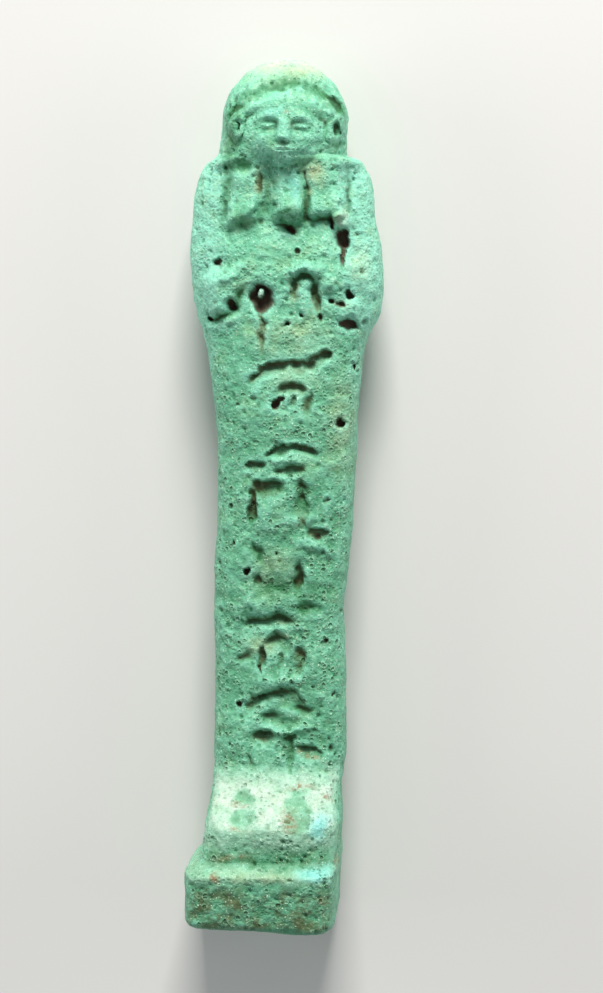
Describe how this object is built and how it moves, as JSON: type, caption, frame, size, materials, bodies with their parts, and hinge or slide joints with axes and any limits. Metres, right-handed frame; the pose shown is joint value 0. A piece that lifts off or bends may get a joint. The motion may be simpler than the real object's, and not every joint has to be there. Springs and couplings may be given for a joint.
{
  "type": "ushabti figurine",
  "caption": "Small moulded faience mummiform figurine with a plinth and a flat back pillar, lying on its back.",
  "frame": {"origin": "middle of the outline, on the surface that the flat back pillar lies on", "axes": "+Y from the plinth to the crown of the head, +Z out of the front, +X to the right as the front is looked at"},
  "size_m": [0.0228, 0.1006, 0.0196],
  "materials": {
    "faience": "worn matt glaze, granular and pitted, pale green with whitish wear and brown dirt in the recesses"
  },
  "bodies": {
    "root": {"ushabti": "faience"}
  },
  "joints": []
}
